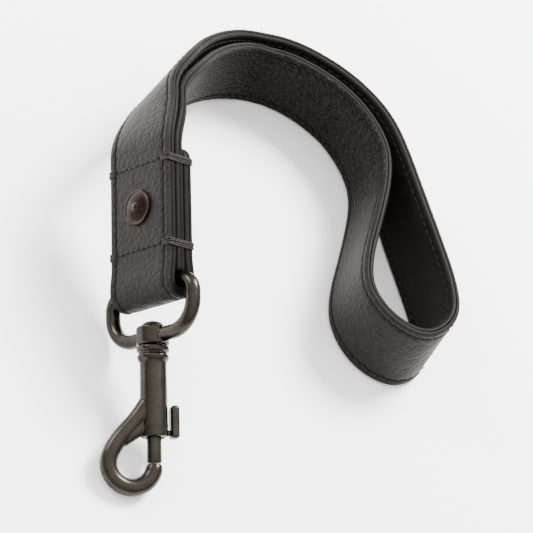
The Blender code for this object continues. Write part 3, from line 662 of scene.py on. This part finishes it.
def leather_layer(route, name, side, material, sizes):
    """One layer of the strap: side 1 faces out with the pebbled grain, side -1 is the lining."""
    ridge = sizes.ridge / MM if side > 0 else 0.8 * sizes.ridge / MM
    half = leather_outline(route.width, ridge, sizes.seam_inset / MM)
    outline = half + [(route.width - up, out) for up, out in reversed(half)]
    count = len(outline)
    along = route.stations
    corner = TAIL_CORNER
    near = np.clip(np.minimum(along, corner), 0.0, corner)
    pull = corner - np.sqrt(np.maximum(0.0, corner**2 - (corner - near) ** 2))
    share = 1.0 - 2.0 * pull / route.width
    middle = route.width / 2.0
    columns = []
    for up, out in outline:
        ups = middle + (up - middle) * share
        flat = 1.0 if 4.0 < up < route.width - 4.0 else 0.25
        outs = np.full_like(along, out) + flat * relief(along, up, side) * (out > 1.3)
        columns.append(route.place(along, ups, side * outs))
    grid = np.stack(columns, axis=1) * MM
    rows = len(along)
    faces = []
    paint = []
    for i in range(rows - 1):
        for j in range(count):
            k = (j + 1) % count
            faces.append((i * count + j, i * count + k, (i + 1) * count + k, (i + 1) * count + j))
            edge = max(outline[j][1], outline[k][1]) < STRAND / 2.0 - 0.35
            paint.append(1 if edge else 0)
    faces.append(tuple(range(count)))
    faces.append(tuple((rows - 1) * count + j for j in range(count)))
    paint += [1, 1]
    item = object_from(name, grid.reshape(-1, 3), faces)
    mesh = item.data
    mesh.materials.append(material)
    mesh.materials.append(edge_paint())
    mesh.polygons.foreach_set("material_index", paint)
    squeeze = mesh.attributes.new("squeeze", "FLOAT", "POINT")
    # The riveted stack stays smooth: folds begin past its end.
    past_stack = np.linalg.norm(grid.mean(axis=1) - np.array(BAR), axis=1) / MM - STACK_END
    inward = np.clip(side * route.bend * 22.0, 0.0, 1.0) * np.clip(past_stack / 8.0, 0.0, 1.0)
    squeeze.data.foreach_set("value", np.repeat(inward, count))
    layout = mesh.uv_layers.new(name="strap")
    corners = np.empty(len(mesh.loops), dtype=np.int32)
    mesh.loops.foreach_get("vertex_index", corners)
    heights = np.array([up for up, _ in outline]) * MM
    flat_map = np.stack((along[corners // count] * MM, heights[corners % count]), axis=1)
    layout.data.foreach_set("uv", flat_map.ravel())
    tidy_shell(item, merge=False)
    return item


class KEYCHAIN_OT_leather(bpy.types.Operator):
    """Build the strap's pebbled face and its smooth lining"""

    bl_idname = "keychain.leather"
    bl_label = "Strap leather"

    def execute(self, context):
        sizes = context.scene.keychain_strap
        route = Route(sizes.width / MM)
        face = leather_layer(route, "strap_face", 1, pebbled_leather(), sizes)
        finish_piece(face, None, "strap", replaced=("strap_outer_leather",))
        lining = leather_layer(route, "strap_lining", -1, lining_leather(), sizes)
        finish_piece(lining, None, "strap", replaced=("strap_lining_leather",))
        return {"FINISHED"}


# ---- stitches ---------------------------------------------------------------------------
class ThreadMesh:
    """Collects short thread tubes and the needle holes' discs of painted shade into one mesh."""

    def __init__(self):
        self.verts = []
        self.faces = []
        self.paint = []

    def add_tube(self, rings, paint=0):
        start = len(self.verts)
        count = len(rings[0])
        for ring in rings:
            self.verts += [tuple(point) for point in ring]
        for i in range(len(rings) - 1):
            for j in range(count):
                k = (j + 1) % count
                a = start + i * count
                self.faces.append((a + j, a + k, a + count + k, a + count + j))
                self.paint.append(paint)
        last = start + (len(rings) - 1) * count
        self.faces.append(tuple(start + count - 1 - j for j in range(count)))
        self.faces.append(tuple(last + j for j in range(count)))
        self.paint += [paint, paint]

    def build(self, name):
        item = object_from(name, np.array(self.verts) * MM, self.faces)
        item.data.materials.append(waxed_thread())
        item.data.materials.append(painted_hole_shade())
        item.data.polygons.foreach_set("material_index", self.paint)
        tidy_shell(item, merge=False)
        return item


def seam_stitches(route, name, side, height, sizes):
    """Lockstitches along one edge of one side, each dipping into its needle holes."""
    threads = ThreadMesh()
    pitch = sizes.stitch_pitch / MM
    radius = sizes.thread_radius / MM
    inset = sizes.seam_inset / MM
    floor = STRAND / 2.0 - SEAM_DEPTH
    count = int((route.length - 2.0 * inset) / pitch)
    spots = [math.tau * (k + 0.5) / 6 for k in range(6)]
    for i in range(count):
        middle = inset + (i + 0.5) * pitch
        rings = []
        for t in (-1.0, -0.8, -0.35, 0.35, 0.8, 1.0):
            along = middle + 0.43 * pitch * t
            rise = floor + radius * (1.15 - 1.9 * abs(t) ** 5)
            thick = radius * (1.0 - 0.35 * abs(t) ** 4)
            slant = 0.13 * t
            ups = np.array([height + slant + 1.1 * thick * math.cos(a) for a in spots])
            outs = side * np.array([rise + thick * math.sin(a) for a in spots])
            rings.append(route.place(np.full(6, along), ups, outs))
        threads.add_tube(rings)
        # Each needle hole is a shallow disc in the nearly black hole material: painted shade for the
        # hole's shadow.
        hole = []
        for depth, scale in ((-0.1, 0.9), (0.08, 1.0)):
            ups = np.array([height + 0.36 * scale * math.sin(a) for a in spots])
            alongs = np.array([middle + 0.5 * pitch + 0.42 * scale * math.cos(a) for a in spots])
            hole.append(route.place(alongs, ups, np.full(6, side * (floor + depth))))
        threads.add_tube(hole, paint=1)
    return threads.build(name)


class KEYCHAIN_OT_seams(bpy.types.Operator):
    """Sew both edges of the strap, on the face and on the lining"""

    bl_idname = "keychain.seams"
    bl_label = "Edge seams"

    def execute(self, context):
        sizes = context.scene.keychain_strap
        route = Route(sizes.width / MM)
        inset = sizes.seam_inset / MM
        for row, height in (("lower", inset), ("upper", route.width - inset)):
            for word, side in (("face", 1), ("lining", -1)):
                item = seam_stitches(route, f"{row}_{word}_stitches", side, height, sizes)
                finish_piece(item, None, "strap", replaced=(f"{row}_seam_{word}_thread",))
        return {"FINISHED"}


def wrap_path(side, half_width, reach):
    """From the front face round one edge to the back face: (across, through)."""
    half = STACK_HALF + 0.12
    corner = 1.0
    path = [(reach, -half + 0.5), (reach + 0.3, -half + 0.05), (reach + 0.8, -half - 0.1)]
    path += [(half_width - 2.2, -half - 0.12)]
    for k in range(7):
        a = math.radians(-90.0 + 15.0 * k)
        path.append((half_width - corner + corner * math.cos(a), -half + corner + corner * math.sin(a)))
    path += [(half_width - 0.12, -2.0), (half_width - 0.16, 0.0), (half_width - 0.12, 2.0)]
    path += [(x, -through) for x, through in reversed(path[:11])]
    return [(side * x, through) for x, through in path]


def cross_stitches(name, up, sizes):
    """A row of holes across the stack, and bars of thread wound over both its edges."""
    threads = ThreadMesh()
    half_width = sizes.width / MM / 2.0 + 0.22
    radius = 1.15 * sizes.thread_radius / MM
    reach = sizes.width / MM / 2.0 - 3.0
    spots = [math.tau * k / 8 for k in range(8)]

    def run(path, thick):
        rings = []
        for i, point in enumerate(path):
            ahead = (Vector(path[min(i + 1, len(path) - 1)]) - Vector(path[max(i - 1, 0)])).normalized()
            flat = ahead.cross(Vector((0.0, 0.0, 1.0))).normalized()
            rise = flat.cross(ahead)
            rings.append([Vector(point) + thick * (math.cos(a) * flat + math.sin(a) * rise)
                          for a in spots])
        threads.add_tube([[STACK_FRAME @ (p * MM) / MM for p in ring] for ring in rings])

    for side in (-1, 1):
        for turn in range(4):
            lane = (turn - 1.5) * 1.75 * radius
            path = []
            for k, (x, through) in enumerate(wrap_path(side, half_width, reach)):
                sway = 0.12 * math.sin(1.7 * turn + 0.35 * k)
                path.append((x, through, up + lane + sway))
            run(path, radius)
    pitch = 2.25
    holes = int(2.0 * (reach - 0.4) / pitch) + 1
    first = -pitch * (holes - 1) / 2.0
    for face in (-1, 1):
        level = face * (STACK_HALF + 0.06)
        for i in range(holes):
            x = first + i * pitch
            bob = 0.16 * (-1) ** i
            rings = []
            # Each hole is a shallow disc in the nearly black hole material: painted shade for the hole's
            # shadow.
            for depth, scale in ((-0.25, 0.8), (0.06, 1.0)):
                ring = [Vector((x + 0.5 * scale * math.cos(a), level + face * depth,
                                up + bob + 0.42 * scale * math.sin(a))) for a in spots]
                rings.append([STACK_FRAME @ (p * MM) / MM for p in ring])
            threads.add_tube(rings, paint=1)
            if i < holes - 1:
                path = [(x + s * pitch, level + face * (0.16 * math.sin(math.pi * s) - 0.1),
                         up + bob * (1.0 - 2.0 * s)) for s in (0.16, 0.3, 0.5, 0.7, 0.84)]
                run(path, 0.8 * radius)
    return threads.build(name)


class KEYCHAIN_OT_cross_seams(bpy.types.Operator):
    """Sew across the riveted stack above the ring and below the tail's end"""

    bl_idname = "keychain.cross_seams"
    bl_label = "Cross seams"

    def execute(self, context):
        sizes = context.scene.keychain_strap
        for place, up in (("near_ring", NEAR_RING_SEAM), ("near_tail", NEAR_TAIL_SEAM)):
            item = cross_stitches("cross_stitches_" + place, up, sizes)
            finish_piece(item, None, "strap", replaced=("cross_seam_" + place,))
        return {"FINISHED"}


# ---- rivet ------------------------------------------------------------------------------
RIVET_CAP_RADIUS = 5.3
RIB_INNER_RADIUS = 1.3
RIB_OUTER_RADIUS = 4.25
RIB_DEPTH = 0.5


def rivet_cap_mesh(ribs):
    """Domed cap with a rolled rim, a sunburst of ribs and a small nub."""
    radius = RIVET_CAP_RADIUS
    rim = ((0.0, 0.0), (radius - 0.25, 0.0), (radius, 0.25), (radius, 0.6), (radius - 0.3, 0.85),
           (radius - 0.62, 0.8), (radius - 0.8, 0.66))
    profile = rounded(rim, 0.2, 4)
    start = radius - 0.8
    for k in range(1, 25):
        share = 1.0 - k / 24.0
        spread = 1.0 + (start - 1.0) * share
        profile.append((spread, 0.66 + 1.0 * (1.0 - (spread / start) ** 2)))
    profile += [(0.95, 1.75), (0.7, 1.9), (0.35, 1.96), (0.0, 1.97)]
    cap = turned("rivet_dome", profile, ribs * 8)
    for vert in cap.data.vertices:
        reach = math.hypot(vert.co.x, vert.co.y) / MM
        if vert.co.z > 0.6 * MM and RIB_INNER_RADIUS < reach < RIB_OUTER_RADIUS:
            fade = min(1.0, (reach - RIB_INNER_RADIUS) / 0.4, (RIB_OUTER_RADIUS - reach) / 0.25)
            wave = abs(math.cos(0.5 * ribs * math.atan2(vert.co.y, vert.co.x)))
            vert.co.z -= RIB_DEPTH * MM * fade * (1.0 - wave) ** 2
    return cap


class KEYCHAIN_OT_rivet(bpy.types.Operator):
    """Set the rivet through the stack, with a sunburst cap and a plain back cap"""

    bl_idname = "keychain.rivet"
    bl_label = "Rivet"

    def execute(self, context):
        ribs = context.scene.keychain_hardware.rivet_ribs
        axis = STACK_FRAME @ Matrix.Translation((0.0, 0.0, RIVET_UP * MM))
        front = axis @ Matrix.Translation((0.0, -(STACK_HALF + 0.1) * MM, 0.0)) @ Matrix.Rotation(
            math.radians(90.0), 4, "X")
        finish_piece(rivet_cap_mesh(ribs), aged_bronze(), "strap", front, ("rivet_cap",),
                     angle=40.0)
        profile = rounded(((0.0, 0.0), (4.4, 0.0), (4.6, 0.25), (4.6, 0.5), (4.2, 0.75), (3.6, 0.7),
                           (2.8, 0.9), (0.0, 1.1)), 0.25)
        back = axis @ Matrix.Translation((0.0, (STACK_HALF + 0.1) * MM, 0.0)) @ Matrix.Rotation(
            math.radians(-90.0), 4, "X")
        finish_piece(turned("rivet_back", profile, 64), aged_bronze(), "strap", back,
                     ("rivet_back_cap",))
        post = frame["nodes"]["rivet_post"]
        post.data.materials.clear()
        post.data.materials.append(aged_bronze())
        return {"FINISHED"}


# ---- swivel eye and stud ----------------------------------------------------------------
EYE_HEIGHT = 14.4
EYE_SIDE_GAP = 2.1
EYE_HALF_WIDTH = STRAP_WIDTH / 2.0 + EYE_SIDE_GAP + EYE_WIRE / 2.0
BOSS_RADIUS = 4.8
BOSS_HALF = 2.8
STUD_RADIUS = 1.5


def eye_path():
    """Wire centre line of the eye: (across, 0, up) from the bar's centre."""
    corners = ((EYE_HALF_WIDTH - 4.0, 4.0, 4.0, -90.0, 10),
               (EYE_HALF_WIDTH - 8.5, EYE_HEIGHT - 8.5, 8.5, 0.0, 18))
    right = []
    for x, y, radius, start, steps in corners:
        for k in range(steps + 1):
            a = math.radians(start + 90.0 * k / steps)
            right.append((x + radius * math.cos(a), 0.0, -(y + radius * math.sin(a))))
    return right + [(-x, y, z) for x, y, z in reversed(right)]


class KEYCHAIN_OT_swivel_eye(bpy.types.Operator):
    """Cast the eye with its swivel boss, and set the headed stud in it"""

    bl_idname = "keychain.swivel_eye"
    bl_label = "Swivel eye"

    def execute(self, context):
        eye = tube("eye", eye_path(), EYE_WIRE / 2.0, 32, cyclic=True)
        profile = rounded(((0.0, -BOSS_HALF), (BOSS_RADIUS, -BOSS_HALF), (BOSS_RADIUS, BOSS_HALF),
                           (0.0, BOSS_HALF)), 0.9)
        boss = turned("boss", profile, 64)
        boss.data.transform(Matrix.Translation((0.0, 0.0, -EYE_HEIGHT * MM)))
        combine(eye, boss, "UNION")
        hole = turned("hole", ((0.0, -4.0), (STUD_RADIUS + FIT_GAP, -4.0),
                               (STUD_RADIUS + FIT_GAP, 4.0), (0.0, 4.0)), 48)
        hole.data.transform(Matrix.Translation((0.0, 0.0, -EYE_HEIGHT * MM)))
        combine(eye, hole, "DIFFERENCE")
        cast_surface(eye)
        finish_casting(eye, "eye", STACK_FRAME, "swivel_eye")
        head = BOSS_HALF + FIT_GAP
        profile = [(0.0, -(BOSS_HALF + 3.6)), (STUD_RADIUS, -(BOSS_HALF + 3.6)), (STUD_RADIUS, head),
                   (2.9, head), (3.0, head + 0.15)]
        for k in range(1, 13):
            a = math.radians(90.0 * k / 12)
            profile.append((3.0 * math.cos(a), head + 0.15 + 1.25 * math.sin(a)))
        finish_casting(turned("stud", profile, 48), "snap", SNAP_FRAME, "swivel_stud", angle=50.0)
        return {"FINISHED"}


# ---- snap body, gate bolt, thumb lever and spring, measured down the axis from the boss -
BARREL_RADIUS = 3.95
BARREL_END = 29.4
BORE_RADIUS = 2.45
BORE_TOP = 8.2
HOOK_WIRE = 5.2
HOOK_BEND_RADIUS = 6.7
HOOK_BEND_DEPTH = 37.0
BOLT_RADIUS = 2.1
BOLT_TOP = 20.8
LEVER_DEPTH = 28.0
LEVER_PIN_RADIUS = 0.9
PADDLE_THICKNESS = 2.6
PADDLE_WIDTH = 4.3
PADDLE_HEIGHT = 9.6
PADDLE_FOOT = 1.6         # from the pin's axis to the paddle's lower end
GATE_TRAVEL = 7.2


def hook_path():
    """Wire centre line of the hook: (sideways, 0, height below the boss's centre)."""
    arc = [math.radians(200.0 - 5.0 * k) for k in range(41)]
    bend = [(-HOOK_BEND_RADIUS + HOOK_BEND_RADIUS * math.cos(a),
             HOOK_BEND_DEPTH + HOOK_BEND_RADIUS * math.sin(a)) for a in arc]
    knots = [(-1.6, BARREL_END - 10.4, 0.0), (-5.2, BARREL_END - 5.2, 0.0),
             (-9.6, BARREL_END - 0.2, 0.0), (*bend[0], 0.0)]
    end_slope = (-math.sin(math.radians(20.0)), math.cos(math.radians(20.0)), 0.0)
    lead = smooth_curve(knots, (-0.55, 0.83, 0.0), end_slope, 12)
    return [(x, 0.0, -y) for x, y, _ in lead[:-1]] + [(x, 0.0, -y) for x, y in bend]


class KEYCHAIN_OT_snap_body(bpy.types.Operator):
    """Cast the snap body: collar, bored barrel and hook"""

    bl_idname = "keychain.snap_body"
    bl_label = "Snap body"

    def execute(self, context):
        top = -(BOSS_HALF + FIT_GAP)
        outside = ((0.0, top), (4.75, top), (4.75, top - 1.4), (4.0, top - 1.8),
                   (4.0, top - 2.2), (4.6, top - 2.6), (4.6, top - 3.6),
                   (BARREL_RADIUS - 0.1, top - 4.6), (BARREL_RADIUS + 0.1, 3.0 - BARREL_END),
                   (BARREL_RADIUS, -BARREL_END), (0.0, -BARREL_END))
        body = turned("snap_hook_body", rounded(outside, 0.5), 72)
        path = hook_path()
        thick = [0.98] * (len(path) - 3) + [0.95, 0.9, 0.8]
        hook = tube("hook", path, HOOK_WIRE / 2.0, 32, radii=thick)
        combine(body, hook, "UNION")
        end = -BARREL_END
        web = tube("web", ((-2.4, 0.0, end + 3.6), (-5.6, 0.0, end + 1.5), (-8.3, 0.0, end - 0.5),
                           (-11.5, 0.0, end - 3.2)), 1.0, 20, radii=[2.2, 2.1, 1.9, 1.2])
        combine(body, web, "UNION")
        bore = turned("bore", ((0.0, -BARREL_END - 0.5), (BORE_RADIUS, -BARREL_END - 0.5),
                               (BORE_RADIUS, -BORE_TOP), (0.0, -BORE_TOP)), 50)
        combine(body, bore, "DIFFERENCE")
        socket = turned("socket", ((0.0, top - 3.6), (STUD_RADIUS + FIT_GAP, top - 3.6),
                                   (STUD_RADIUS + FIT_GAP, top + 1.0), (0.0, top + 1.0)), 46)
        combine(body, socket, "DIFFERENCE")
        deselect_all()
        slot = LEVER_PIN_RADIUS + FIT_GAP
        low = -(BARREL_END + 0.5)
        high = -(LEVER_DEPTH - GATE_TRAVEL - slot)
        bpy.ops.mesh.primitive_cube_add(size=1.0, location=(3.0 * MM, 0.0, (low + high) / 2.0 * MM),
                                        scale=(6.0 * MM, 2.0 * slot * MM, (high - low) * MM))
        bpy.ops.object.transform_apply(location=True, rotation=True, scale=True)
        combine(body, bpy.context.view_layer.objects.active, "DIFFERENCE")
        cast_surface(body, 5)
        finish_casting(body, "snap", SNAP_FRAME, "snap_body")
        return {"FINISHED"}


class KEYCHAIN_OT_gate(bpy.types.Operator):
    """Turn the gate bolt, shape its thumb lever and wind its spring"""

    bl_idname = "keychain.gate"
    bl_label = "Gate"

    def execute(self, context):
        tip = HOOK_BEND_DEPTH - FIT_GAP
        profile = rounded(((0.0, -tip), (BOLT_RADIUS, -tip), (BOLT_RADIUS, -BOLT_TOP),
                           (0.0, -BOLT_TOP)), 0.5)
        finish_casting(turned("bolt", profile, 48), "gate", SNAP_FRAME, "gate_bolt")
        finish_casting(self.lever(), "gate", SNAP_FRAME, "thumb_lever")
        self.spring(context.scene.keychain_hardware.spring_coils)
        return {"FINISHED"}

    def lever(self):
        """A thumb paddle on a pin through the barrel's slot."""
        center = BARREL_RADIUS + 2.0 * FIT_GAP + 1.4
        low = -(LEVER_DEPTH + PADDLE_FOOT)
        high = low + PADDLE_HEIGHT
        deselect_all()
        bpy.ops.mesh.primitive_cube_add(
            size=1.0, location=(center * MM, 0.0, (low + high) / 2.0 * MM),
            scale=(PADDLE_THICKNESS * MM, PADDLE_WIDTH * MM, (high - low) * MM))
        bpy.ops.object.transform_apply(location=True, rotation=True, scale=True)
        lever = bpy.context.view_layer.objects.active
        lever.name = "lever"
        apply_modifier(lever, "BEVEL", width=1.0 * MM, segments=5, affect="EDGES")
        pin = turned("pin", ((0.0, -0.5), (LEVER_PIN_RADIUS, -0.5), (LEVER_PIN_RADIUS, center),
                             (0.0, center)), 24)
        pin.data.transform(Matrix.Translation((0.0, 0.0, -LEVER_DEPTH * MM))
                           @ Matrix.Rotation(math.radians(90.0), 4, "Y"))
        combine(lever, pin, "UNION")
        apply_modifier(lever, "REMESH", mode="VOXEL", voxel_size=0.12 * MM, use_smooth_shade=True)
        apply_modifier(lever, "SMOOTH", factor=0.5, iterations=6)
        return lever

    def spring(self, coils):
        wire = 0.22
        low = -(BOLT_TOP - FIT_GAP - wire)
        high = -(BORE_TOP + FIT_GAP + wire)
        radius = BORE_RADIUS - FIT_GAP - wire
        turns = coils * 20
        points = [(radius * math.cos(math.tau * i / 20), radius * math.sin(math.tau * i / 20),
                   low + (high - low) * i / turns) for i in range(turns + 1)]
        item = tube("spring", points, wire, 8)
        finish_piece(item, spring_steel(), "snap", SNAP_FRAME, ("gate_spring",))
        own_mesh(item)


# ---- stage ------------------------------------------------------------------------------
CAMERA_AZIMUTH = -36.8
CAMERA_ELEVATION = 49.0
CAMERA_ROLL = 34.5
CAMERA_LENS = 135.1
CAMERA_DISTANCE = 599.7
CAMERA_AIM = (-3.5, -9.2, 20.0)
LIGHTS = (                # name, place and size in metres, power in watts
    ("key", (0.5, 0.4, 0.75), 0.35, 44.0),
    ("rim", (-0.6, 0.5, 0.35), 0.3, 6.0),
)
HORIZON_GLOW = 0.45
ZENITH_GLOW = 3.2


class KEYCHAIN_OT_stage(bpy.types.Operator):
    """Lay a pale floor, set soft studio light and place the camera"""

    bl_idname = "keychain.stage"
    bl_label = "Stage"

    def execute(self, context):
        deselect_all()
        bpy.ops.mesh.primitive_plane_add(size=6.0, location=(0.0, 0.0, -0.05 * MM))
        floor = bpy.context.view_layer.objects.active
        floor.name = "floor"
        material, tree, shader = new_material("white_studio_card")
        cloud = noise(tree, object_place(tree), 0.5).outputs["Fac"]
        set_inputs(tree, shader, {
            "Base Color": tinted(tree, cloud, hex_color("#fbfbfa"), hex_color("#ffffff")),
            "Roughness": 0.9, "Specular IOR Level": 0.1})
        floor.data.materials.append(material)
        self.lights(context)
        self.camera(context)
        return {"FINISHED"}

    def lights(self, context):
        world = bpy.data.worlds.new("studio")
        world.use_nodes = True
        tree = world.node_tree
        background = tree.nodes["Background"]
        # A large soft box overhead, with a darker room round the table.
        heading = add_node(tree, "ShaderNodeTexCoord").outputs["Generated"]
        height = add_node(tree, "ShaderNodeSeparateXYZ", {0: heading}).outputs["Z"]
        set_inputs(tree, background, {"Color": (1.0, 1.0, 1.0, 1.0),
                                      "Strength": remap(tree, height, HORIZON_GLOW, ZENITH_GLOW)})
        context.scene.world = world
        for name, spot, size, power in LIGHTS:
            light = bpy.data.lights.new(name, "AREA")
            light.size = size
            light.energy = power
            item = bpy.data.objects.new(name, light)
            context.collection.objects.link(item)
            item.location = spot
            item.rotation_euler = (-Vector(spot)).to_track_quat("-Z", "Y").to_euler()

    def camera(self, context):
        azimuth = math.radians(CAMERA_AZIMUTH)
        elevation = math.radians(CAMERA_ELEVATION)
        roll = math.radians(CAMERA_ROLL)
        back = Vector((math.sin(azimuth) * math.cos(elevation),
                       -math.cos(azimuth) * math.cos(elevation), math.sin(elevation)))
        level = Vector((0.0, 0.0, 1.0)).cross(back).normalized()
        right = math.cos(roll) * level + math.sin(roll) * back.cross(level)
        up = back.cross(right)
        camera = bpy.data.cameras.new("camera")
        camera.lens = CAMERA_LENS
        camera.sensor_width = 36.0
        camera.clip_start = 0.01
        item = bpy.data.objects.new("camera", camera)
        context.collection.objects.link(item)
        aim = Vector(CAMERA_AIM) * MM
        axes = Matrix((right, up, back)).transposed().to_4x4()
        item.matrix_world = Matrix.Translation(aim + back * CAMERA_DISTANCE * MM) @ axes
        context.scene.camera = item


# ---- panel and registration -------------------------------------------------------------
class KEYCHAIN_PT_panel(bpy.types.Panel):
    """Lists the keychain's sizes, colours and pieces"""

    bl_label = "Wristlet Keychain"
    bl_idname = "KEYCHAIN_PT_panel"
    bl_space_type = "VIEW_3D"
    bl_region_type = "UI"
    bl_category = "Keychain"

    def draw(self, context):
        for settings in (context.scene.keychain_strap, context.scene.keychain_hardware,
                         context.scene.keychain_colors):
            box = self.layout.box()
            for name in settings.bl_rna.properties.keys():
                if name not in ("rna_type", "name"):
                    box.prop(settings, name)
        for operator in OPERATORS:
            self.layout.operator(operator.bl_idname)


SETTINGS = (
    ("keychain_strap", StrapSettings),
    ("keychain_hardware", HardwareSettings),
    ("keychain_colors", ColorSettings),
)
OPERATORS = (
    KEYCHAIN_OT_leather,
    KEYCHAIN_OT_seams,
    KEYCHAIN_OT_cross_seams,
    KEYCHAIN_OT_rivet,
    KEYCHAIN_OT_swivel_eye,
    KEYCHAIN_OT_snap_body,
    KEYCHAIN_OT_gate,
    KEYCHAIN_OT_stage,
)


def register():
    for name, group in SETTINGS:
        bpy.utils.register_class(group)
        setattr(bpy.types.Scene, name, bpy.props.PointerProperty(type=group))
    for operator in OPERATORS:
        bpy.utils.register_class(operator)
    bpy.utils.register_class(KEYCHAIN_PT_panel)


def unregister():
    bpy.utils.unregister_class(KEYCHAIN_PT_panel)
    for operator in reversed(OPERATORS):
        bpy.utils.unregister_class(operator)
    for name, group in reversed(SETTINGS):
        delattr(bpy.types.Scene, name)
        bpy.utils.unregister_class(group)


def main():
    register()
    bpy.ops.keychain.leather()
    bpy.ops.keychain.seams()
    bpy.ops.keychain.cross_seams()
    bpy.ops.keychain.rivet()
    bpy.ops.keychain.swivel_eye()
    bpy.ops.keychain.snap_body()
    bpy.ops.keychain.gate()
    bpy.ops.keychain.stage()


if __name__ == "__main__":
    main()
